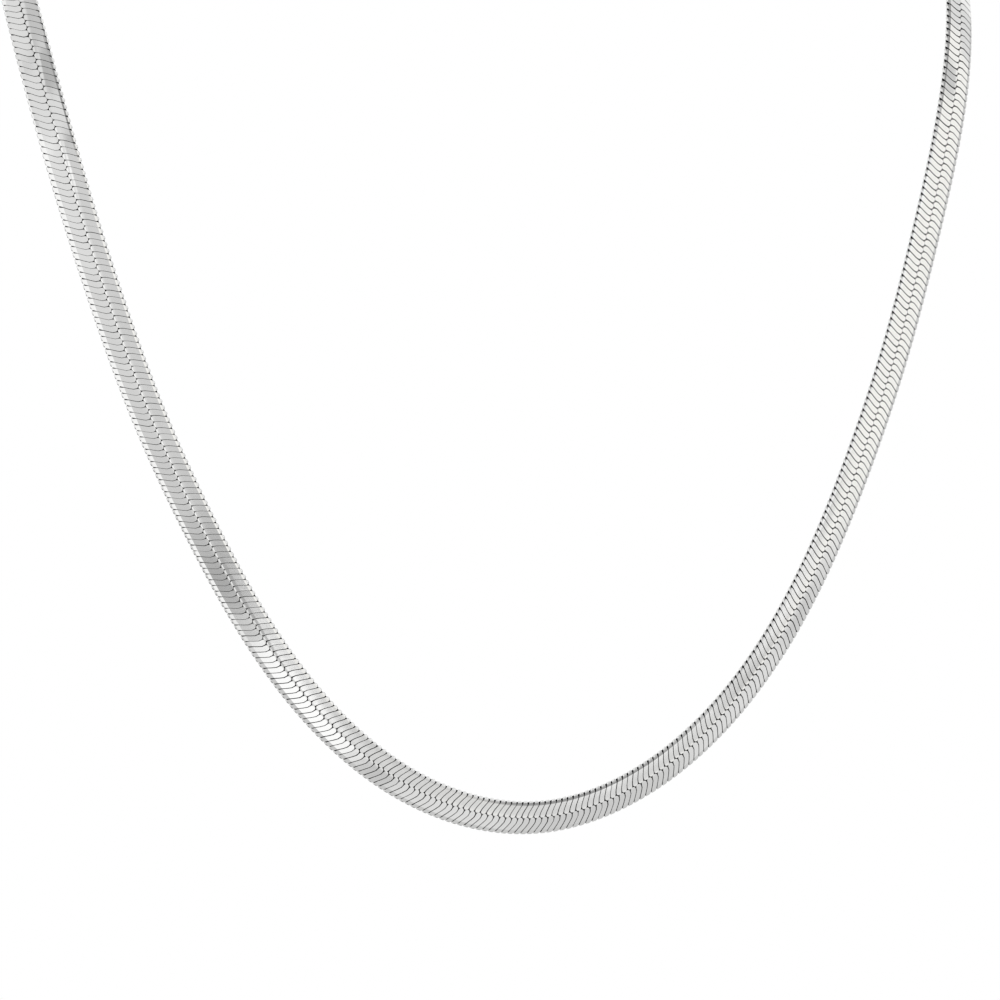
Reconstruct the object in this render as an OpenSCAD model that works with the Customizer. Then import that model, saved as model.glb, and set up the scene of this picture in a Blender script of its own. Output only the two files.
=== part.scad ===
// Herringbone chain necklace, closed at the nape with a lobster clasp, in the form it has when worn.
// The origin is the middle of the clasp and its rings at the nape. The front of the loop faces -Y, and
// +Z is up.
// All lengths are in millimetres.

/* [Chain] */
// Width of the flat chain, edge to edge
chain_w = 5; // [3:0.5:8]
// Thickness of the chain along its middle
chain_t = 1.1; // [0.8:0.1:1.6]

/* [Loop] */
// Width of the loop across both arms, between the middles of the chain
loop_w = 140; // [110:5:170]
// Depth of the loop, from its lowest point at the front to the clasp
loop_d = 101.5; // [85:0.5:140]
// Height of the clasp above the loop's lowest point
loop_h = 142; // [120:2:170]

/* [End caps] */
// Length of an end cap's body
cap_l = 6.5; // [5:0.5:9]
// Depth of the pocket that holds the chain's end
pocket_l = 4; // [3:0.5:4.5]
// Wall of an end cap round the chain
cap_wall = 0.5; // [0.4:0.1:0.8]

/* [Eyes] */
// Radius of the hole in an eye
eye_r = 0.95; // [0.85:0.05:1.3]
// Wall of an eye round its hole
eye_wall = 0.75; // [0.6:0.05:1]
// Thickness of an eye
eye_t = 1; // [0.8:0.1:1.4]

/* [Jump rings] */
// Outer diameter of a jump ring
ring_d = 5.6; // [5.2:0.2:7]
// Diameter of a jump ring's wire
ring_wire = 0.8; // [0.6:0.1:0.9]

/* [Clasp] */
// Length of the clasp over its claw and its tail eye
clasp_l = 12.5; // [11:0.5:16]
// Width of the clasp across its claw
clasp_w = 6; // [5.5:0.5:8]
// Thickness of the clasp at its middle
clasp_t = 2.2; // [1.6:0.2:3]
// Wall of the claw round its opening
claw_wall = 1.1; // [0.8:0.1:1.2]

/* [Fit] */
// Gap left between one piece and the next
gap = 0.15; // [0.1:0.05:0.2]

/* [Hidden] */
$fn = 48;

// Half of the chain's route, from the lowest point at the front to the cap at the nape. Its columns are
// [x, as a share of half loop_w, y, of loop_d, z, of loop_h, heading of the flat face, tilt of the face].
// The heading is 0 towards the front and 180 towards the back, and the tilt is upwards, both in degrees.
// The loop is the smooth spline that these points pull towards them, mirrored for the other half.
ROUTE = [
    [0.000, 0.000, -0.013, 0, 0],
    [0.257, 0.000, 0.027, 1, 0],
    [0.457, 0.008, 0.109, 2, 1],
    [0.606, 0.022, 0.213, 3, 2],
    [0.719, 0.038, 0.328, 4, 3],
    [0.818, 0.057, 0.445, 5, 3],
    [0.893, 0.075, 0.566, 5, 3],
    [0.961, 0.090, 0.689, 6, 6],
    [1.008, 0.132, 0.812, 20, 18],
    [1.010, 0.260, 0.905, 62, 36],
    [0.975, 0.410, 0.950, 90, 44],
    [0.900, 0.560, 0.975, 104, 42],
    [0.790, 0.700, 0.988, 118, 36],
    [0.657, 0.818, 0.995, 130, 26],
    [0.510, 0.918, 0.999, 146, 14],
    [0.370, 0.983, 1.000, 165, 5]
];

// Outline of the chain's section, with columns [share of half chain_w, outwards, share of half chain_t].
// The crown where the two rows of links meet lies a little towards the inner edge.
SECTION = [
    [1, 0], [0.94, 0.5], [0.78, 0.72], [-0.03, 1], [-0.78, 0.72], [-0.94, 0.5],
    [-1, 0], [-0.94, -0.5], [-0.78, -0.72], [-0.03, -1], [0.78, -0.72], [0.94, -0.5]
];

// Rings of the chain's skin along its curved stretch
CHAIN_RINGS = 77;
// Straight steps in each rounded end of the clasp's outlines
ARC_STEPS = 24;

cap_w = chain_w + 2*gap + 2*cap_wall;
cap_t = chain_t + 2*gap + 2*cap_wall;
eye_out = eye_r + eye_wall;
ring_r = (ring_d - ring_wire)/2;
ring_in = ring_r - ring_wire/2;
claw_out = clasp_w/2;
claw_r = claw_out - claw_wall;

// Places along X at the nape, worked out from the clasp's middle. The claw points to the left.
claw_x = claw_out - clasp_l/2;
tail_x = clasp_l/2 - eye_out;

// Arcs of the clasp's top and bottom, which meet the thickness of an eye at both ends
lens_rise = (clasp_t - eye_t)/2;
lens_r = (pow(clasp_l/2, 2) + pow(lens_rise, 2))/(2*lens_rise);

// Half the clasp's thickness at a distance x from its middle
function clasp_half(x) = sqrt(lens_r*lens_r - x*x) - lens_r + clasp_t/2;

// Distance from a ring's centre to the middle of a hole that holds it, when the ring is pulled tight
// against a rim that is half_t thick on each side, with the gap kept at the rim's edge
function seat(hole_r, half_t) = sqrt(pow(ring_in - gap, 2) - half_t*half_t) + hole_r;

ring_left_x = claw_x - seat(claw_r, clasp_half(claw_x - claw_r));
ring_right_x = tail_x + seat(eye_r, clasp_half(tail_x + eye_r));
cap_left_x = ring_left_x - seat(eye_r, eye_t/2);
cap_right_x = ring_right_x + seat(eye_r, eye_t/2);

// From an eye's middle to the near face of its cap's body, and on to the chain's end and the cap's mouth
neck_l = eye_out + ring_wire/2;
end_l = neck_l + cap_l - pocket_l + gap;
mouth_l = neck_l + cap_l;
// Both chain ends lie at the same distance from the loop's middle plane
shift_x = -(cap_left_x + cap_right_x)/2;
chain_end_x = (cap_right_x - cap_left_x)/2 + end_l;
// The chain is straight from inside the cap to this place
straight_x = (cap_right_x - cap_left_x)/2 + mouth_l + gap;

SPANS = len(ROUTE);

// One row of the route in millimetres and degrees, with the clasp's middle as the origin
function in_place(row) = [
    row[0]*loop_w/2,
    (row[1] - 1)*loop_d,
    (row[2] - 1)*loop_h,
    row[3],
    row[4]
];
function mirrored(p) = [-p[0], p[1], p[2], -p[3], p[4]];

// Where the spline ends and the straight stretch starts, facing backwards, and the last row before it.
// The next two points mirror that row across the end, so that the spline arrives there along X.
ARRIVAL = [straight_x, 0, 0, 180, 0];
BEFORE = in_place(ROUTE[SPANS - 1]);
BEYOND = concat([2*ARRIVAL[0] - BEFORE[0]], [for (k = [1:4]) BEFORE[k]]);
LAST = (6*ARRIVAL - BEFORE - BEYOND)/4;

// Point i of the whole route, counted from the lowest point, negative on the left
function pull(i) =
    i < 0 ? mirrored(pull(-i)) :
    i > SPANS ? BEYOND :
    i == SPANS ? LAST :
    in_place(ROUTE[i]);

// Cubic spline at the share f of span i, and the same at parameter u, with its direction of travel
function spline(i, f) = (
    pow(1 - f, 3)*pull(i - 1) + (3*pow(f, 3) - 6*f*f + 4)*pull(i)
    + (-3*pow(f, 3) + 3*f*f + 3*f + 1)*pull(i + 1) + pow(f, 3)*pull(i + 2)
)/6;
function span_of(u) = max(-SPANS, min(SPANS - 1, floor(u)));
function at(u) = spline(span_of(u), u - span_of(u));
function place(u) = let (p = at(u)) [p[0], p[1], p[2]];
function unit(v) = v/norm(v);
function travel(u) = unit(place(min(SPANS, u + 0.02)) - place(max(-SPANS, u - 0.02)));

// Unit vector that the flat face looks along, square to the direction of travel
function facing(u, t) =
    let (p = at(u), n = [sin(p[3])*cos(p[4]), -cos(p[3])*cos(p[4]), sin(p[4])])
    unit(n - (n*t)*t);

// Ring of the chain's section at a place, with the face's direction n and the outer edge's direction w
function ring_at(c, n, w) = [for (s = SECTION) c + w*(s[0]*chain_w/2) + n*(s[1]*chain_t/2)];
function spline_ring(u) = let (t = travel(u), n = facing(u, t)) ring_at(place(u), n, cross(t, n));

// Ring at a chain end, where the face looks along +Y and the outer edge along -Z
function end_ring(x) = ring_at([x, 0, 0], [0, 1, 0], [0, 0, -1]);

// Skin that joins a list of equal rings, closed at both ends
module skin(rings) {
    n = len(rings[0]);
    last = len(rings) - 1;
    sides = [
        for (i = [0:last - 1], j = [0:n - 1])
            [i*n + j, i*n + (j + 1)%n, (i + 1)*n + (j + 1)%n, (i + 1)*n + j]
    ];
    start = [for (j = [n - 1:-1:0]) j];
    finish = [for (j = [0:n - 1]) last*n + j];
    polyhedron([for (r = rings) each r], concat(sides, [start, finish]), convexity = 8);
}

// Flat chain round the whole loop, as one band
module chain() {
    color("silver")
    skin(concat(
        [end_ring(-chain_end_x)],
        [for (k = [0:CHAIN_RINGS - 1]) spline_ring(SPANS*(2*k/(CHAIN_RINGS - 1) - 1))],
        [end_ring(chain_end_x)]
    ));
}

// Outline round two circles on the X axis and the tangents between them
module taper(x1, r1, x2, r2) {
    lean = acos((r1 - r2)/(x2 - x1));
    polygon(concat(
        [for (k = [0:ARC_STEPS]) let (a = lean + (360 - 2*lean)*k/ARC_STEPS) [x1 + r1*cos(a), r1*sin(a)]],
        [for (k = [0:ARC_STEPS]) let (a = -lean + 2*lean*k/ARC_STEPS) [x2 + r2*cos(a), r2*sin(a)]]
    ));
}

// Plate in the XZ plane, centred on Y
module upright(thick) {
    rotate([90, 0, 0])
        linear_extrude(thick, center = true)
            children();
}

// Hole along Y
module cross_hole(x, r) {
    translate([x, 0, 0])
        rotate([90, 0, 0])
            cylinder(h = 4*cap_w, r = r, center = true);
}

// Cap with its eye at the origin and its mouth towards +X
module end_cap() {
    shoulder = cap_w/2 - cap_wall;
    difference() {
        union() {
            intersection() {
                // Outline seen from behind: shoulders that narrow to the neck
                upright(2*cap_w)
                    polygon([
                        [0, eye_r], [neck_l, eye_out], [neck_l + shoulder/2, cap_w/2], [mouth_l, cap_w/2],
                        [mouth_l, -cap_w/2], [neck_l + shoulder/2, -cap_w/2], [neck_l, -eye_out], [0, -eye_r]
                    ]);
                // Outline seen from above: a neck as thick as the eye, then the full thickness
                linear_extrude(2*cap_w, center = true)
                    polygon([
                        [0, eye_t/2], [neck_l, eye_t/2], [neck_l + cap_wall, cap_t/2], [mouth_l, cap_t/2],
                        [mouth_l, -cap_t/2], [neck_l + cap_wall, -cap_t/2], [neck_l, -eye_t/2], [0, -eye_t/2]
                    ]);
            }
            upright(eye_t) circle(eye_out);
        }
        cross_hole(0, eye_r);
        translate([mouth_l - pocket_l, -chain_t/2 - gap, -chain_w/2 - gap])
            cube([2*pocket_l, chain_t + 2*gap, chain_w + 2*gap]);
    }
}

module end_cap_right() {
    color("silver")
    translate([cap_right_x + shift_x, 0, 0])
        end_cap();
}

module end_cap_left() {
    color("silver")
    translate([cap_left_x + shift_x, 0, 0])
        mirror([1, 0, 0])
            end_cap();
}

module jump_ring(x) {
    translate([x + shift_x, 0, 0])
        rotate_extrude()
            translate([ring_r, 0])
                circle(d = ring_wire);
}

module jump_ring_left() {
    color("silver")
    jump_ring(ring_left_x);
}

module jump_ring_right() {
    color("silver")
    jump_ring(ring_right_x);
}

// Plain lobster clasp in one piece: a claw round its opening, a body that narrows, and a tail eye
module clasp() {
    neck_r = eye_out - eye_wall/2;
    neck_x = tail_x - eye_out - neck_r/2;
    slot_r = claw_r/2;
    color("silver")
    translate([shift_x, 0, 0])
        difference() {
            intersection() {
                upright(2*clasp_t) {
                    taper(claw_x, claw_out, neck_x, neck_r);
                    translate([neck_x, -0.8*neck_r])
                        square([tail_x - neck_x, 1.6*neck_r]);
                    translate([tail_x, 0])
                        circle(eye_out);
                }
                // Top and bottom that curve in towards both ends
                linear_extrude(2*clasp_w, center = true)
                    intersection() {
                        translate([0, clasp_t/2 - lens_r])
                            circle(lens_r, $fn = 480);
                        translate([0, lens_r - clasp_t/2])
                            circle(lens_r, $fn = 480);
                    }
            }
            upright(2*clasp_t)
                taper(claw_x, claw_r, claw_x + 1.5*claw_r, slot_r);
            cross_hole(tail_x, eye_r);
        }
}

chain();
end_cap_left();
end_cap_right();
jump_ring_left();
jump_ring_right();
clasp();
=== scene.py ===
"""Herringbone chain necklace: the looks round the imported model.

Every row of the chain's links is a surface worked out from the route, the section and the lean of the
links. The end caps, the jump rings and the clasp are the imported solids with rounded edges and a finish.
All lengths in this script are in metres, and MM turns millimetres into them.
"""

import logging
import math
from dataclasses import dataclass, field
from enum import Enum

import bmesh
import bpy
import numpy as np
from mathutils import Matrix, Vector


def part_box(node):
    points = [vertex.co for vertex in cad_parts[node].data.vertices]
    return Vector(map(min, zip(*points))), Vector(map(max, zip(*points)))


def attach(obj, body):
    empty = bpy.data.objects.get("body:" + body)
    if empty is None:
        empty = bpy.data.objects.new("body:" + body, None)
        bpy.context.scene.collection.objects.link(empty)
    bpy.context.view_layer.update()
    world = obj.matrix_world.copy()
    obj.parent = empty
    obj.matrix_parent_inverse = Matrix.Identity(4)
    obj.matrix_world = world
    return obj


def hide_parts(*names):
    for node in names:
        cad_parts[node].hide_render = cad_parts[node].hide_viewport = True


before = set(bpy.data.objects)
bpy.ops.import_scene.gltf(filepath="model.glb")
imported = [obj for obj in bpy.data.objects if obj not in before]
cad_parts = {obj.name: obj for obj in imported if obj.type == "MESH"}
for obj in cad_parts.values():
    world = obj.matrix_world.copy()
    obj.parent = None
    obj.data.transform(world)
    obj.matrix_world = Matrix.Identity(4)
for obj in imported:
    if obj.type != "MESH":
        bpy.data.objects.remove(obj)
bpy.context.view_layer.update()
LOG = logging.getLogger("necklace")

MM = 0.001
BODY = "root"


def linear(code: str) -> tuple[float, float, float, float]:
    """Turns an sRGB hex colour into linear RGBA.

    Args:
        code: six hex digits, such as "f2f0ea".

    Returns:
        The three linear values and an alpha of 1.
    """
    parts = [int(code[i:i + 2], 16)/255 for i in (0, 2, 4)]
    return tuple(c/12.92 if c <= 0.04045 else ((c + 0.055)/1.055)**2.4 for c in parts) + (1.0,)


def direction_at(azimuth: float, elevation: float) -> Vector:
    """Direction at an azimuth and an elevation in degrees, where azimuth 0 is the front."""
    a, e = math.radians(azimuth), math.radians(elevation)
    return Vector((math.sin(a)*math.cos(e), -math.cos(a)*math.cos(e), math.sin(e)))


def add_node(tree: bpy.types.NodeTree, kind: str, settings: dict | None = None,
             links: dict | None = None) -> bpy.types.Node:
    """Adds one node with its settings, socket values and links.

    Args:
        tree: the node tree.
        kind: the node's type name.
        settings: attributes of the node, and values of input sockets under their number or name.
        links: the output socket that each named or numbered input takes.

    Returns:
        The new node.
    """
    node = tree.nodes.new(kind)
    for key, value in (settings or {}).items():
        if isinstance(key, str) and hasattr(node, key):
            setattr(node, key, value)
        else:
            node.inputs[key].default_value = value
    for key, socket in (links or {}).items():
        tree.links.new(socket, node.inputs[key])
    return node


def make_piece(name: str, verts: np.ndarray, faces: list[np.ndarray]) -> bpy.types.Object:
    """Puts a surface worked out with numpy into a new object at the origin, shaded smooth.

    Args:
        name: the piece's name.
        verts: corner places, one row of x, y, z each.
        faces: arrays of corner numbers, one row a face, each array with its own number of corners.

    Returns:
        The new object, linked to the scene.
    """
    mesh = bpy.data.meshes.new(name)
    mesh.vertices.add(len(verts))
    mesh.vertices.foreach_set("co", verts.astype(np.float32).ravel())
    sizes = np.concatenate([np.full(len(f), f.shape[1]) for f in faces])
    corners = np.concatenate([f.ravel() for f in faces])
    mesh.loops.add(len(corners))
    mesh.loops.foreach_set("vertex_index", corners.astype(np.int32))
    mesh.polygons.add(len(sizes))
    mesh.polygons.foreach_set("loop_start", (np.cumsum(sizes) - sizes).astype(np.int32))
    mesh.polygons.foreach_set("loop_total", sizes.astype(np.int32))
    mesh.polygons.foreach_set("use_smooth", np.full(len(sizes), True))
    mesh.update(calc_edges=True)
    mesh.validate()
    piece = bpy.data.objects.new(name, mesh)
    bpy.context.scene.collection.objects.link(piece)
    return piece


class Side(Enum):
    """The two rows of links, on either side of the line where they meet."""

    OUTER = 1
    INNER = -1


@dataclass(frozen=True)
class Silver:
    """Sterling silver, bright where it is polished, with shade painted dark into the gaps between the links.

    The polish gives each leaf one clear tone from the light around it. Faint streaks along the leaf and a
    slow cloud of wear keep that tone from being dead even. Painted shade darkens the gaps between the leaves
    to near black, which draws each leaf's border. The real marks of polishing are too fine to show, so the
    streaks on the links and the grain on the fittings are drawn coarser than they are.
    """

    name: str
    polished: str = "f7f7f6"
    worn: str = "efefee"
    # Near-black colour of the shade painted into the gaps between the links
    painted_shade: str = "16171a"
    # Typical of polished silver, and how far the streaks or the grain take it up and down
    rough: float = 0.09
    rough_spread: float = 0.05
    painted_shade_rough: float = 0.6
    # A corner with less painted shade than the first value looks clean, and with more than the second, dark
    painted_shade_range: tuple = (0.25, 0.7)
    # Streaks, in millimetres across and along a leaf, and how far the pattern moves from link to link
    streak_w: float = 0.07
    streak_l: float = 1.1
    streak_step: float = 3.7
    cloud: float = 6*MM
    grain: float = 0.3*MM
    bump: float = 0.03
    bump_h: float = 0.02*MM
    on_links: bool = False

    def make(self) -> bpy.types.Material:
        """Builds the material.

        Returns:
            The material, which reads Object coordinates and, on links, the leaf attribute and the painted
            shade one.
        """
        material = bpy.data.materials.new(self.name)
        material.use_nodes = True
        tree = material.node_tree
        tree.nodes.clear()
        place = add_node(tree, "ShaderNodeTexCoord").outputs["Object"]
        cloud = add_node(tree, "ShaderNodeTexNoise", {"Scale": 1/self.cloud, "Detail": 3.0},
                         {"Vector": place})
        if self.on_links:
            leaf = add_node(tree, "ShaderNodeAttribute", {"attribute_name": "leaf"}).outputs["Vector"]
            spread = add_node(tree, "ShaderNodeVectorMath", {
                "operation": "MULTIPLY", 1: (1/self.streak_w, 1/self.streak_l, self.streak_step),
            }, {0: leaf}).outputs[0]
            grain = add_node(tree, "ShaderNodeTexNoise", {"Scale": 1.0, "Detail": 2.0}, {"Vector": spread})
        else:
            grain = add_node(tree, "ShaderNodeTexNoise", {"Scale": 1/self.grain, "Detail": 2.0},
                             {"Vector": place})
        colour = add_node(tree, "ShaderNodeMix", {
            "data_type": "RGBA", 6: linear(self.polished), 7: linear(self.worn),
        }, {0: cloud.outputs["Fac"]}).outputs[2]
        rough = add_node(tree, "ShaderNodeMapRange", {
            "To Min": self.rough - self.rough_spread/2, "To Max": self.rough + self.rough_spread/2,
        }, {"Value": grain.outputs["Fac"]}).outputs[0]
        if self.on_links:
            # Painted shade: the links' attribute darkens the colour towards near black and dulls the shine
            amount = add_node(tree, "ShaderNodeAttribute", {"attribute_name": "painted_shade"}).outputs["Fac"]
            shade = add_node(tree, "ShaderNodeMapRange", {
                "From Min": self.painted_shade_range[0], "From Max": self.painted_shade_range[1],
            }, {"Value": amount}).outputs[0]
            colour = add_node(tree, "ShaderNodeMix", {"data_type": "RGBA", 7: linear(self.painted_shade)},
                              {0: shade, 6: colour}).outputs[2]
            rough = add_node(tree, "ShaderNodeMix", {"data_type": "FLOAT", 3: self.painted_shade_rough},
                             {0: shade, 2: rough}).outputs[0]
        bump = add_node(tree, "ShaderNodeBump", {"Strength": self.bump, "Distance": self.bump_h},
                        {"Height": grain.outputs["Fac"]})
        shader = add_node(tree, "ShaderNodeBsdfPrincipled", {"Metallic": 1.0},
                          {"Base Color": colour, "Roughness": rough, "Normal": bump.outputs[0]})
        add_node(tree, "ShaderNodeOutputMaterial", links={"Surface": shader.outputs[0]})
        return material


@dataclass
class Route:
    """The line that the chain follows round the neck, from the left end cap round the front to the right.

    The rows are the same points that the chain's solid follows. Each row's columns are x as a share of half
    the loop's width, y as a share of its depth, z as a share of its height, and the heading and the upward
    tilt of the flat face in degrees. The line is a uniform cubic spline that the points pull towards them,
    mirrored for the left half, with a straight stretch along X into each cap.
    """

    loop_w: float = 140*MM
    loop_d: float = 101.5*MM
    loop_h: float = 142*MM
    gap: float = 0.15*MM
    pocket_l: float = 4*MM
    steps: int = 9000
    rows: tuple = (
        (0.000, 0.000, -0.013, 0, 0),
        (0.257, 0.000, 0.027, 1, 0),
        (0.457, 0.008, 0.109, 2, 1),
        (0.606, 0.022, 0.213, 3, 2),
        (0.719, 0.038, 0.328, 4, 3),
        (0.818, 0.057, 0.445, 5, 3),
        (0.893, 0.075, 0.566, 5, 3),
        (0.961, 0.090, 0.689, 6, 6),
        (1.008, 0.132, 0.812, 20, 18),
        (1.010, 0.260, 0.905, 62, 36),
        (0.975, 0.410, 0.950, 90, 44),
        (0.900, 0.560, 0.975, 104, 42),
        (0.790, 0.700, 0.988, 118, 36),
        (0.657, 0.818, 0.995, 130, 26),
        (0.510, 0.918, 0.999, 146, 14),
        (0.370, 0.983, 1.000, 165, 5),
    )
    arc: np.ndarray = field(init=False)
    centre: np.ndarray = field(init=False)
    face: np.ndarray = field(init=False)
    outwards: np.ndarray = field(init=False)

    def __post_init__(self) -> None:
        """Works out the dense table of places and directions along the line.

        With f the share of the way over a span, the four points round it pull with (1 - f) cubed, 3 f cubed
        less 6 f squared plus 4, 1 plus 3 f plus 3 f squared less 3 f cubed, and f cubed, all over 6. The
        last two points are set so that the line ends in the cap's mouth, straight along X. The face is
        turned square to the line, and outwards is square to both.
        """
        spans = len(self.rows)
        right = np.array(self.rows)*[self.loop_w/2, self.loop_d, self.loop_h, 1, 1]
        right[:, 1] -= self.loop_d
        right[:, 2] -= self.loop_h
        mouth_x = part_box("end_cap_right")[1].x + self.gap
        arrival = np.array([mouth_x, 0, 0, 180, 0])
        beyond = right[-1].copy()
        beyond[0] = 2*mouth_x - beyond[0]
        last = (6*arrival - right[-1] - beyond)/4
        right = np.vstack([right, last, beyond])
        pulls = np.vstack([right[:0:-1]*[-1, 1, 1, -1, 1], right])
        u = np.linspace(0, 2*spans, self.steps)
        span = np.minimum(u.astype(int), 2*spans - 1)
        f = (u - span)[:, None]
        values = ((1 - f)**3*pulls[span] + (3*f**3 - 6*f**2 + 4)*pulls[span + 1]
                  + (-3*f**3 + 3*f**2 + 3*f + 1)*pulls[span + 2] + f**3*pulls[span + 3])/6
        end = arrival.copy()
        end[0] -= self.pocket_l
        values = np.vstack([end*[-1, 1, 1, -1, 1], values, end])
        self.centre = values[:, :3]
        steps = np.linalg.norm(np.diff(self.centre, axis=0), axis=1)
        self.arc = np.concatenate([[0], np.cumsum(steps)])
        travel = np.gradient(self.centre, self.arc, axis=0)
        travel /= np.linalg.norm(travel, axis=1)[:, None]
        heading, tilt = np.radians(values[:, 3]), np.radians(values[:, 4])
        face = np.stack([np.sin(heading)*np.cos(tilt), -np.cos(heading)*np.cos(tilt), np.sin(tilt)], 1)
        face -= (face*travel).sum(1)[:, None]*travel
        self.face = face/np.linalg.norm(face, axis=1)[:, None]
        self.outwards = np.cross(travel, self.face)

    @property
    def length(self) -> float:
        """Length of the chain between its two ends."""
        return float(self.arc[-1])

    def place(self, along: np.ndarray, out: np.ndarray, up: np.ndarray) -> np.ndarray:
        """Turns places on the chain into places in the frame.

        A place is the point of the line at that distance along it, plus the distance outwards and the
        height over the middle plane, along the two directions that the line has there.

        Args:
            along: distances from the left end.
            out: distances from the middle of the chain towards its outer edge.
            up: heights above the middle plane, towards the front face.

        Returns:
            x, y and z in a last axis of three.
        """
        result = np.empty(along.shape + (3,))
        for axis in range(3):
            result[..., axis] = (np.interp(along, self.arc, self.centre[:, axis])
                                 + out*np.interp(along, self.arc, self.outwards[:, axis])
                                 + up*np.interp(along, self.arc, self.face[:, axis]))
        return result


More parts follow.
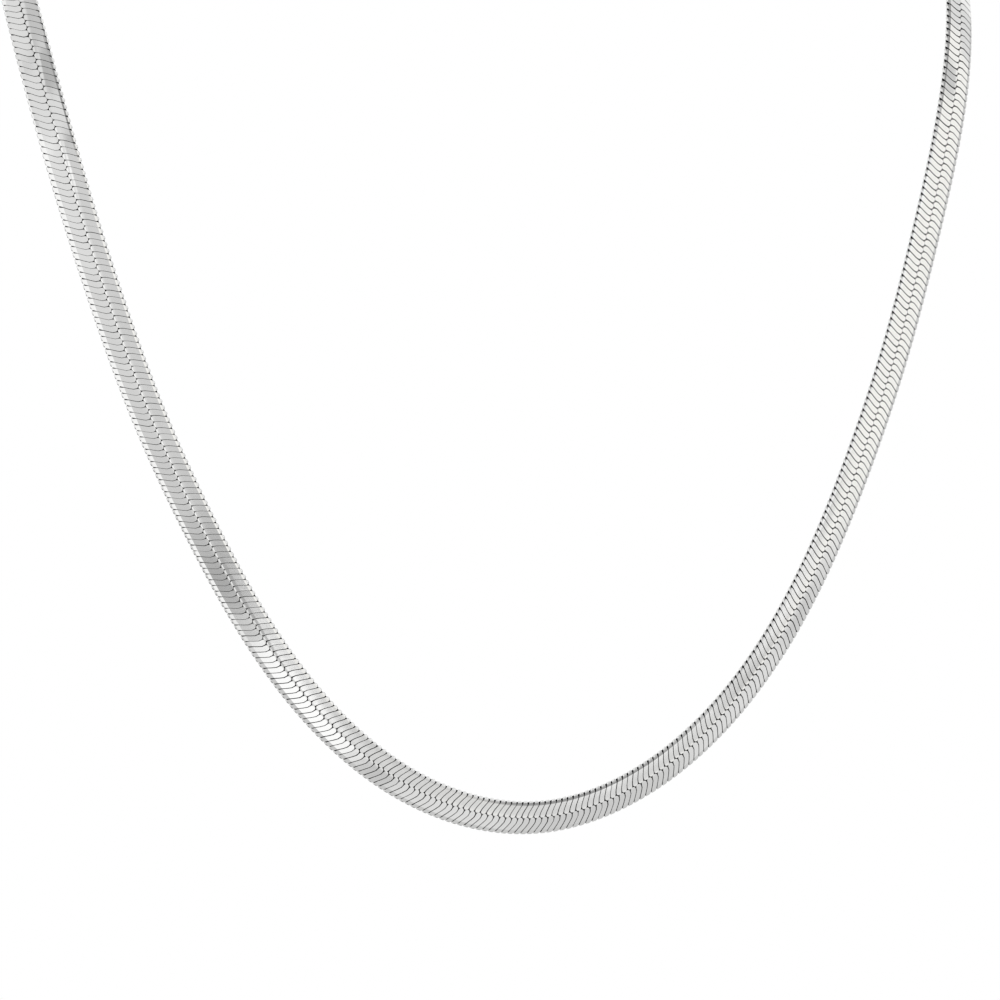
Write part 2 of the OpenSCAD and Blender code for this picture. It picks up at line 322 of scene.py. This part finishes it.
@dataclass
class HerringboneChain:
    """Two rows of pressed hairpin links that lean apart and meet along a line of rounded tips.

    Each link is a leaf on the front, a wrap round the chain's edge and a leaf on the back. Seen along the
    chain its section is a low roof, highest where the rows meet. With t the share of the way from a leaf's
    tip to the edge of its flat, the height falls evenly from the crown to that edge, plus bulge*t*(1 - t).
    The wrap goes on from there in flat facets down to the middle plane. A leaf leaves its tip square to
    the chain and then leans: its shift is lean*f(t)/f(1), where f(t) is (t - knee) plus the root of
    (t - knee) squared plus bend squared.

    Painted shade goes from 0, clean, to 1, black. Most of it lies at the feet of the links' sides, so that
    it shows down in the gaps as their shade.
    """

    route: Route
    # The whole section, the step from link to link and the gap between two of them
    width: float = 5.0*MM
    thick: float = 1.1*MM
    pitch: float = 0.94*MM
    gap: float = 0.05*MM
    # Depth of a leaf's sides and of a wrap's
    leaf_t: float = 0.17*MM
    wrap_t: float = 0.34*MM
    # Where the rows meet, outwards from the middle, and how far each row's tips reach past it
    meet: float = -0.08*MM
    overlap: float = 0.05*MM
    # Height of the flat's edge over the middle plane, and the bulge of the flat
    edge_up: float = 0.38*MM
    bulge: float = 0.03*MM
    # How unevenly the links sit: along the chain, and turned about their own length, in degrees
    wander: float = 0.01*MM
    roll: float = 0.1
    seed: int = 7
    # How far out each row's flat goes
    face_edge: dict = field(default_factory=lambda: {Side.OUTER: 1.82*MM, Side.INNER: 1.90*MM})
    # The lean at the flat's edge in pitches, the knee and the bend of the formula, and the wrap's own lean
    leans: dict = field(default_factory=lambda: {
        Side.OUTER: (-0.88, 0.40, 0.12, -0.36),
        Side.INNER: (1.00, 0.30, 0.30, 0.28),
    })
    # Rings of a leaf from its tip to the flat's edge: share of the way, share of the width, and drop
    leaf_rings: tuple = (
        (0.00, 0.20, 0.010*MM), (0.04, 0.57, 0.005*MM), (0.11, 0.88, 0.0), (0.21, 1.00, 0.0),
        (0.42, 1.00, 0.0), (0.72, 1.00, 0.0), (1.00, 1.00, 0.0),
    )
    # Rings of the wrap from there to the middle plane: share of the way out, share of the height, slope in
    # degrees, and half the width of the rounded top as a share of the link's width
    wrap_rings: dict = field(default_factory=lambda: {
        Side.OUTER: ((0.63, 0.69, 17.0, 0.42), (0.84, 0.50, 42.0, 0.37), (0.96, 0.26, 66.0, 0.28),
                     (1.00, 0.00, 90.0, 0.20)),
        Side.INNER: ((0.40, 0.81, 17.0, 0.42), (0.62, 0.61, 30.0, 0.31), (0.88, 0.32, 50.0, 0.24),
                     (1.00, 0.00, 90.0, 0.14)),
    })
    # Rings that the back half does without
    front_only: tuple = (1, 3, 5)
    # How many rings, from the flat's edge on, are sharp creases
    sharp_rings: int = 3
    # Half the width of a leaf's flat top, as a share of the link's width
    flat_top: float = 0.455
    # Painted shade at the feet of a wrap, at the feet of a leaf where it is narrower than tip_share of its
    # width, and on a ring that drops by a leaf's whole depth
    wrap_painted_shade: dict = field(default_factory=lambda: {Side.OUTER: 0.65, Side.INNER: 0.62})
    tip_painted_shade: float = 0.75
    tip_share: float = 0.9
    drop_painted_shade: float = 0.3
    # Stretches over which the left arm ends and the right arm starts. On the left the leaves' tops are
    # wider, only left_painted_shade of the painted shade is left, and the inner row's tips dip at their
    # first rings. On the right the tops are narrower, and painted shade lies on one ring of the inner row's
    # wrap
    left_end: tuple = (201*MM, 216*MM)
    right_start: tuple = (283*MM, 300*MM)
    left_top: float = 0.488
    right_top: float = 0.447
    left_painted_shade: float = 0.4
    left_dip: tuple = (0.15*MM, 0.10*MM, 0.04*MM)
    right_painted_shade: float = 0.7
    right_shade_ring: int = 8
    # The band inside the rows, painted near black as shade: half its width, half its thickness, the cut at
    # its corners, how far it stays inside the chain's ends, and its rings
    core_w: float = 2.3*MM
    core_t: float = 0.16*MM
    core_cut: float = 0.1*MM
    core_inset: float = 0.2*MM
    core_rings: int = 400

    def half_link(self, side: Side) -> dict[str, np.ndarray]:
        """Works out the rings of the front half of a link, from its tip to the middle plane at the edge.

        Args:
            side: the row.

        Returns:
            Arrays with one value for each ring. out and up are its place in the section, and n_out and n_up
            the surface's direction there. shift is how far it lies along the chain, in pitches, and share
            is its share of the link's width. drop is how far its top lies under the surface, dip what the
            left arm adds to that, and thick the depth of its sides. top is half the width of its top, and
            left and right are what the arms add to that. side is the painted shade at its feet, and
            right_shade the right arm's painted shade on its top. run is the distance from the tip over the
            surface.
        """
        leaf, wrap = np.array(self.leaf_rings), np.array(self.wrap_rings[side])
        lean, knee, bend, wrap_lean = self.leans[side]
        way = leaf[:, 0]
        tip = self.meet*side.value - self.overlap
        edge = self.face_edge[side]
        crown = self.thick/2
        out = np.concatenate([tip + way*(edge - tip), edge + wrap[:, 0]*(self.width/2 - edge)])
        up = np.concatenate([crown + way*(self.edge_up - crown) + self.bulge*way*(1 - way),
                             self.edge_up*wrap[:, 1]])
        slope = math.atan2(crown - self.edge_up, edge - tip)
        turn = np.concatenate([np.full(len(way), slope), np.radians(wrap[:, 2])])
        ramp = (way - knee + np.hypot(way - knee, bend))/(1 - knee + math.hypot(1 - knee, bend))
        steps = np.hypot(np.diff(out), np.diff(up))
        on_leaf = np.arange(len(out)) < len(leaf)
        share = np.concatenate([leaf[:, 1], np.ones(len(wrap))])
        dip, right_shade = np.zeros(len(out)), np.zeros(len(out))
        if side is Side.INNER:
            dip[:len(self.left_dip)] = self.left_dip
            # Painted shade for the right arm, on one ring of the inner row's wrap
            right_shade[self.right_shade_ring] = self.right_painted_shade
        return {
            "out": out, "up": up, "n_out": np.sin(turn), "n_up": np.cos(turn),
            "shift": np.concatenate([lean*ramp, lean + wrap_lean*wrap[:, 0]]),
            "share": share,
            "drop": np.concatenate([leaf[:, 2], np.zeros(len(wrap))]),
            "dip": dip, "right_shade": right_shade,
            "left": np.where(on_leaf, self.left_top - self.flat_top, 0.0),
            "right": np.where(on_leaf, self.right_top - self.flat_top, 0.0),
            "thick": np.where(on_leaf, self.leaf_t, self.wrap_t),
            "top": np.concatenate([np.full(len(leaf), self.flat_top), wrap[:, 3]]),
            "side": np.where(on_leaf, np.where(share < self.tip_share, self.tip_painted_shade, 1.0),
                             self.wrap_painted_shade[side]),
            "run": np.concatenate([[0], np.cumsum(steps)]),
        }

    def back_rings(self) -> np.ndarray:
        """Numbers of the half link's rings that the back half has, without the one on the middle plane."""
        rings = np.arange(len(self.leaf_rings) + len(self.wrap_rings[Side.OUTER]) - 1)
        return rings[~np.isin(rings, self.front_only)]

    def row(self, side: Side) -> tuple[np.ndarray, np.ndarray, np.ndarray]:
        """Works out all the links of one row.

        A ring has four corners: two at the feet of its sides and two on top. A corner lies at the ring's
        place, moved across by its share of the ring's width. It is sunk under the surface by the ring's
        drop, the left arm's dip and the link's roll, and a foot by the depth of the sides as well. The
        back half is the front half mirrored in the middle plane.

        Args:
            side: the row.

        Returns:
            Corner places of shape (links, rings, corners, 3), the painted shade of each corner, and for each
            corner its place on its own leaf in millimetres with the link's number as the third value.
        """
        half = self.half_link(side)
        front = len(half["out"])
        order = np.concatenate([np.arange(front), self.back_rings()[::-1]])
        whole = {k: v[order][None, :, None] for k, v in half.items()}
        rings = len(order)
        flip = np.where(np.arange(rings) < front, 1.0, -1.0)[None, :, None]
        count = int(self.route.length/self.pitch)
        pitch = self.route.length/count
        offset = 0.5 if side is Side.OUTER else 0.0
        middles = (np.arange(count) + offset)*pitch
        reach = np.abs(whole["shift"]).max()*pitch + pitch/2
        middles = middles[(middles > reach) & (middles < self.route.length - reach)]
        links = len(middles)
        random = np.random.default_rng(self.seed + side.value)
        roll = np.radians(self.roll)*random.standard_normal((links, 1, 1))
        middles = middles[:, None, None] + self.wander*random.standard_normal((links, 1, 1))
        is_foot = np.array([True, False, False, True])
        hand = np.array([1, 1, -1, -1])
        left = np.interp(middles, self.left_end, (1.0, 0.0))
        right = np.interp(middles, self.right_start, (0.0, 1.0))
        top = whole["top"] + left*whole["left"] + right*whole["right"]
        across = np.where(is_foot, 0.5, top)*hand*whole["share"]*(pitch - self.gap)
        sink = is_foot*whole["thick"] + whole["drop"] + left*whole["dip"] + across*np.tan(roll)
        out = side.value*(whole["out"] - sink*whole["n_out"])
        up = flip*(whole["up"] - sink*whole["n_up"])
        along = np.broadcast_to(middles + whole["shift"]*pitch + across, out.shape)
        # Painted shade: dark at the sides' feet and on dropped rings, less on the left arm, a stripe on the
        # right
        kept = 1 - left*(1 - self.left_painted_shade)
        is_right_top = ~is_foot & (hand > 0)
        painted_shade = (kept*is_foot*whole["side"] + right*is_right_top*whole["right_shade"]
                   + self.drop_painted_shade*whole["drop"]/self.leaf_t)
        own = (across/MM, whole["run"]*flip/MM, np.arange(links)[:, None, None])
        leaf = np.stack([np.broadcast_to(value, out.shape) for value in own], -1)
        return self.route.place(along, out, up), painted_shade, leaf

    def links_piece(self, name: str, side: Side, finish: bpy.types.Material) -> bpy.types.Object:
        """Joins one row's links into a piece, each link a tube closed at both tips.

        Args:
            name: the piece's name.
            side: the row.
            finish: its material.

        Returns:
            The piece.
        """
        places, painted_shade, leaf = self.row(side)
        links, rings, corners = places.shape[:3]
        number = np.arange(links*rings*corners).reshape(links, rings, corners)
        after = np.roll(number, -1, axis=2)
        walls = np.stack([number[:, :-1], number[:, 1:], after[:, 1:], after[:, :-1]], -1).reshape(-1, 4)
        front = number[:, 0]
        back = number[:, -1, ::-1]
        if side is Side.INNER:
            walls = walls[:, ::-1]
            front, back = front[:, ::-1], back[:, ::-1]
        piece = make_piece(name, places.reshape(-1, 3), [walls, front, back])
        mesh = piece.data
        # The painted shade goes on each corner, for the material to darken the gaps with
        store = mesh.attributes.new("painted_shade", "FLOAT", "POINT")
        store.data.foreach_set("value", np.clip(painted_shade, 0, 1).astype(np.float32).ravel())
        store = mesh.attributes.new("leaf", "FLOAT_VECTOR", "POINT")
        store.data.foreach_set("vector", leaf.astype(np.float32).ravel())
        # A leaf's flat and the wrap's first facets each keep their own tone, so their long borders and the
        # creases between them are sharp, and so are the feet, where the sides meet the hidden underside
        edges = np.empty(len(mesh.edges)*2, np.int32)
        mesh.edges.foreach_get("vertices", edges)
        ends = edges.reshape(-1, 2)
        corner = ends % corners
        ring = ends//corners % rings
        creases = []
        for step in range(self.sharp_rings):
            crease = len(self.leaf_rings) - 1 + step
            creases += [crease, rings - 1 - int((self.back_rings() < crease).sum())]
        on_flats = (ring <= creases[-2]).all(1) | (ring >= creases[-1]).all(1)
        is_top = (corner > 0).all(1) & (corner < corners - 1).all(1)
        border = (corner[:, 0] == corner[:, 1]) & (on_flats | ~is_top)
        across_crease = (ring[:, 0] == ring[:, 1]) & np.isin(ring[:, 0], creases)
        store = mesh.attributes.new("sharp_edge", "BOOLEAN", "EDGE")
        store.data.foreach_set("value", border | (across_crease & is_top))
        mesh.materials.append(finish)
        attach(piece, BODY)
        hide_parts("chain")
        return piece

    def core_piece(self, name: str, finish: bpy.types.Material) -> bpy.types.Object:
        """Makes the inner folds of the links, as one flat band inside the rows, painted near black as shade.

        The band is a rectangle with cut corners, carried along the route, with closed ends.

        Args:
            name: the piece's name.
            finish: its material.

        Returns:
            The piece.
        """
        half_w, half_t, cut = self.core_w, self.core_t, self.core_cut
        upper = np.array([
            (half_w, half_t - cut), (half_w - cut, half_t), (cut - half_w, half_t), (-half_w, half_t - cut),
        ])
        outline = np.vstack([upper, -upper])
        along = np.linspace(self.core_inset, self.route.length - self.core_inset, self.core_rings)
        rings, corners = len(along), len(outline)
        grid = np.broadcast_to(along[:, None], (rings, corners))
        places = self.route.place(grid, np.broadcast_to(outline[:, 0], grid.shape),
                                  np.broadcast_to(outline[:, 1], grid.shape))
        number = np.arange(rings*corners).reshape(rings, corners)
        after = np.roll(number, -1, axis=1)
        walls = np.stack([number[:-1], after[:-1], after[1:], number[1:]], -1).reshape(-1, 4)
        piece = make_piece(name, places.reshape(-1, 3), [walls, number[:1, ::-1], number[-1:]])
        piece.data.materials.append(finish)
        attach(piece, BODY)
        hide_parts("chain")
        return piece

    def build(self) -> list[bpy.types.Object]:
        """Builds both rows and the band of their folds.

        Returns:
            The three pieces.
        """
        # Pressed and polished silver gives the eye one clear tone on each leaf, with painted shade between
        links = Silver("pressed_polished_silver", on_links=True).make()
        # Painted shade: the band is nearly black and dull silver, so nothing shines inside the gaps
        inside = Silver("painted_shade_silver", polished="1b1c1f", worn="101113", rough=0.6).make()
        return [
            self.links_piece("outer_links", Side.OUTER, links),
            self.links_piece("inner_links", Side.INNER, links),
            self.core_piece("inner_folds", inside),
        ]


@dataclass
class Fittings:
    """The end caps, jump rings and clasp at the nape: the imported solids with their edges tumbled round."""

    # Width of each fitting's rounded edges, the steps of the rounding, and the angle in degrees from which
    # an edge counts as one
    edges: dict = field(default_factory=lambda: {
        "end_cap_left": 0.3*MM, "end_cap_right": 0.3*MM, "jump_ring_left": 0.0, "jump_ring_right": 0.0,
        "clasp": 0.4*MM,
    })
    edge_steps: int = 3
    edge_angle: float = 35.0
    # Corners nearer than this are merged, and faces within this angle in degrees become one
    merge: float = 0.001*MM
    flat_angle: float = 1.0

    def rounded(self, name: str, radius: float, finish: bpy.types.Material) -> bpy.types.Object:
        """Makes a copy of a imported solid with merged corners, rounded edges and smooth shading.

        Args:
            name: the solid's name.
            radius: the width of the rounding, or 0 for none.
            finish: the copy's material.

        Returns:
            The piece, which takes the solid's place.
        """
        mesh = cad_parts[name].data.copy()
        mesh.name = name + "_cast"
        shape = bmesh.new()
        shape.from_mesh(mesh)
        bmesh.ops.remove_doubles(shape, verts=shape.verts, dist=self.merge)
        bmesh.ops.dissolve_limit(shape, angle_limit=math.radians(self.flat_angle), verts=shape.verts,
                                 edges=shape.edges)
        shape.to_mesh(mesh)
        shape.free()
        mesh.shade_smooth()
        mesh.set_sharp_from_angle(angle=math.radians(self.edge_angle))
        mesh.materials.clear()
        mesh.materials.append(finish)
        piece = bpy.data.objects.new(mesh.name, mesh)
        bpy.context.scene.collection.objects.link(piece)
        if radius:
            bevel = piece.modifiers.new("tumbled_edges", "BEVEL")
            bevel.width, bevel.segments = radius, self.edge_steps
            bevel.limit_method, bevel.angle_limit = "ANGLE", math.radians(self.edge_angle)
            bevel.harden_normals = True
        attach(piece, BODY)
        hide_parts(name)
        return piece

    def build(self) -> list[bpy.types.Object]:
        """Builds and returns every fitting."""
        # Cast silver polished in the barrel is a little greyer than the links, and its shine is softer
        finish = Silver("cast_polished_silver", polished="e8e8e6", worn="dededb", rough=0.16).make()
        return [self.rounded(name, radius, finish) for name, radius in self.edges.items()]


@dataclass(frozen=True)
class Card:
    """A soft rectangular card in the tent, far away, that is lighter or darker than the tent.

    Azimuth, elevation, half width, half height, roll and softness are in degrees. Azimuth 0 is the front.
    """

    name: str
    azimuth: float
    elevation: float
    half_w: float
    half_h: float
    roll: float
    soft: float
    strength: float
    tint: str = "ffffff"

    def axes(self) -> tuple[Vector, Vector, Vector]:
        """Works out how the card lies: level first, and then turned about its middle by the roll.

        Returns:
            The directions of the card's middle, of its width and of its height.
        """
        aim = direction_at(self.azimuth, self.elevation)
        a, r = math.radians(self.azimuth), math.radians(self.roll)
        right = Vector((math.cos(a), math.sin(a), 0))
        rise = right.cross(aim)
        rise = rise if rise.z >= 0 else -rise
        return aim, right*math.cos(r) + rise*math.sin(r), rise*math.cos(r) - right*math.sin(r)

    def mask(self, tree: bpy.types.NodeTree, direction: bpy.types.NodeSocket) -> bpy.types.NodeSocket:
        """Adds the nodes that say where the card is.

        Along the width and along the height, a value falls smoothly from 1 to 0 as the sine of the angle
        from the card's middle crosses the soft border. The two are multiplied, and the half of the tent
        that faces away from the card gets 0.

        Args:
            tree: the world's node tree.
            direction: the socket that gives the direction looked in.

        Returns:
            The socket that is 1 on the card and 0 off it.
        """
        aim, wide, high = self.axes()
        parts = []
        for axis, half in ((wide, self.half_w), (high, self.half_h)):
            sine = add_node(tree, "ShaderNodeVectorMath", {"operation": "DOT_PRODUCT", 1: axis},
                            {0: direction})
            size = add_node(tree, "ShaderNodeMath", {"operation": "ABSOLUTE"}, {0: sine.outputs["Value"]})
            parts.append(add_node(tree, "ShaderNodeMapRange", {
                "interpolation_type": "SMOOTHSTEP", "To Min": 1.0, "To Max": 0.0,
                "From Min": math.sin(math.radians(max(0.0, half - self.soft/2))),
                "From Max": math.sin(math.radians(half + self.soft/2)),
            }, {"Value": size.outputs[0]}).outputs[0])
        ahead = add_node(tree, "ShaderNodeVectorMath", {"operation": "DOT_PRODUCT", 1: aim}, {0: direction})
        parts.append(add_node(tree, "ShaderNodeMath", {"operation": "GREATER_THAN", 1: 0.0},
                              {0: ahead.outputs["Value"]}).outputs[0])
        both = add_node(tree, "ShaderNodeMath", {"operation": "MULTIPLY"}, {0: parts[0], 1: parts[1]})
        return add_node(tree, "ShaderNodeMath", {"operation": "MULTIPLY"},
                        {0: both.outputs[0], 1: parts[2]}).outputs[0]


@dataclass
class Studio:
    """A plain white floor and backdrop, soft light all round, and the camera at the photograph's angle."""

    # The camera's direction in degrees, its distance from the target, its lens and sensor in millimetres,
    # and the nearest and farthest it sees
    azimuth: float = -21.0
    elevation: float = 15.0
    distance: float = 0.700
    target: tuple = (-7.24*MM, -101.5*MM, -93.9*MM)
    lens: float = 177.9
    sensor: float = 36.0
    clip: tuple = (0.01, 100.0)
    # The floor's height, its sides, and its rings from the middle outwards, each with its radius and how
    # high it stands over the floor
    floor_z: float = -0.30
    floor_sides: int = 96
    floor_rings: tuple = (
        (1.5, 0.0), (3.0, 0.0), (3.4, 0.05), (3.7, 0.2), (3.9, 0.5), (4.0, 1.0), (4.0, 6.0),
    )
    # The tent's own light, and its cards, each over the ones before it. The wide ones at the start are the
    # room, the next give the arms their broad greys, and the small ones at the end give the short light and
    # dark stretches along the front
    base: float = 0.80
    cards: tuple = (
        Card("far_left", -112, -28, 42, 34, 0, 10, 0.98),
        Card("ceiling", 0, 80, 36, 36, 0, 10, 0.60),
        Card("far_right", 112, 16, 30, 20, 0, 8, 0.98),
        Card("right_low", 112, -26, 48, 17, 0, 5, 0.66),
        Card("back_grey", 166, -20, 25, 25, 0, 8, 0.66),
        Card("table", 25, -70, 70, 36, 0, 5, 0.63),
        Card("back_low", 165, -50, 45, 7, 0, 5, 0.25),
        Card("back_high", 180, 36, 60, 14, 0, 8, 1.05),
        Card("skylight", 180, 74, 40, 7, 0, 4, 1.0),
        Card("left_window", -45, -10, 30, 16, 0, 4, 1.02),
        Card("left_grey", 12, 6, 7, 13, 0, 4, 0.69),
        Card("right_grey", 70, -24, 14, 20, 0, 5, 0.66),
        Card("right_white", 42, 2, 20, 15, 0, 3, 1.0, "fffefb"),
        Card("overhead", 22, 32, 15.5, 21.8, 0, 2, 0.33),
        Card("overhead_left", -6, 31, 13, 9, 0, 5, 0.50),
        Card("sill", 3, 4.2, 4, 2.4, 0, 1.2, 1.05),
        Card("inner_strip", 35.5, 8.2, 3.5, 2.6, 0, 2, 0.62),
        Card("low_grey_outer", 27.5, -27.5, 6, 4, 0, 4, 0.66),
        Card("low_grey_inner", 20.8, -9.2, 2.4, 1.0, 0, 0.8, 0.69),
        Card("step", 8.6, -23.4, 1.3, 2.5, -48, 1.0, 0.55),
        Card("left_mid", -2.5, -10, 3, 2.2, 0, 2, 0.66),
        Card("dark_band", 9.2, -8.9, 14, 1.7, 25, 1.6, 0.39),
        Card("bright_low", 4.2, -18.4, 4.2, 4.5, -48, 1.0, 1.12),
        Card("bright_high", 19.2, -6.0, 1.0, 3.0, -59, 0.7, 1.3),
        Card("right_patch", 40.6, -15.9, 1.3, 1.3, 0, 1.2, 0.58),
        Card("inner_patch", 21.5, -6.6, 0.8, 2.0, 60, 0.7, 0.5),
    )

    def build_camera(self) -> None:
        """Makes the camera, which looks straight at the target."""
        back = direction_at(self.azimuth, self.elevation)
        data = bpy.data.cameras.new("camera")
        data.lens = self.lens
        data.sensor_width = self.sensor
        data.clip_start, data.clip_end = self.clip
        camera = bpy.data.objects.new("camera", data)
        camera.rotation_mode = "QUATERNION"
        camera.location = Vector(self.target) + back*self.distance
        camera.rotation_quaternion = (-back).to_track_quat("-Z", "Y")
        bpy.context.scene.collection.objects.link(camera)
        bpy.context.scene.camera = camera

    def build_floor(self) -> None:
        """Makes the floor, a wide disc with its rim turned up into a backdrop all round."""
        around = np.linspace(0, 2*np.pi, self.floor_sides, endpoint=False)
        radius, height = np.array(self.floor_rings).T[:, :, None]
        x = radius*np.cos(around)
        y = radius*np.sin(around)
        z = np.broadcast_to(self.floor_z + height, x.shape)
        verts = np.vstack([[0.0, 0.0, self.floor_z], np.stack([x, y, z], -1).reshape(-1, 3)])
        number = 1 + np.arange(x.size).reshape(x.shape)
        after = np.roll(number, -1, axis=1)
        fan = np.stack([np.zeros(len(around), int), number[0], after[0]], -1)
        walls = np.stack([number[:-1], number[1:], after[1:], after[:-1]], -1).reshape(-1, 4)
        floor = make_piece("studio_floor", verts, [fan, walls])
        # Evenly lit white paper is plain white to the eye, and the silver mirrors the tent instead of it
        material = bpy.data.materials.new("white_paper")
        material.use_nodes = True
        tree = material.node_tree
        tree.nodes.clear()
        glow = add_node(tree, "ShaderNodeEmission", {"Color": linear("ffffff"), "Strength": 1.0})
        add_node(tree, "ShaderNodeOutputMaterial", links={"Surface": glow.outputs[0]})
        floor.data.materials.append(material)
        floor.visible_glossy = False

    def build_world(self) -> None:
        """Makes the light all round: a pale tent with soft darker and lighter cards."""
        world = bpy.data.worlds.new("tent")
        world.use_nodes = True
        tree = world.node_tree
        tree.nodes.clear()
        direction = add_node(tree, "ShaderNodeTexCoord").outputs["Generated"]
        light = add_node(tree, "ShaderNodeMix", {"data_type": "RGBA", 0: 0.0, 6: (self.base,)*3 + (1.0,)})
        for card in self.cards:
            colour = tuple(c*card.strength for c in linear(card.tint)[:3]) + (1.0,)
            light = add_node(tree, "ShaderNodeMix", {"data_type": "RGBA", 7: colour},
                             {0: card.mask(tree, direction), 6: light.outputs[2]})
        light = add_node(tree, "ShaderNodeBackground", {"Strength": 1.0}, {"Color": light.outputs[2]})
        add_node(tree, "ShaderNodeOutputWorld", links={"Surface": light.outputs[0]})
        bpy.context.scene.world = world

    def build(self) -> None:
        """Builds the camera, the floor and the light."""
        self.build_camera()
        self.build_floor()
        self.build_world()
        bpy.context.scene.view_settings.view_transform = "Standard"


def main() -> None:
    """Builds the studio and the necklace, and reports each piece."""
    logging.basicConfig(level=logging.INFO, format="%(name)s: %(message)s")
    Studio().build()
    for piece in HerringboneChain(Route()).build() + Fittings().build():
        LOG.info("%s: %d faces", piece.name, len(piece.data.polygons))


if __name__ == "__main__":
    main()
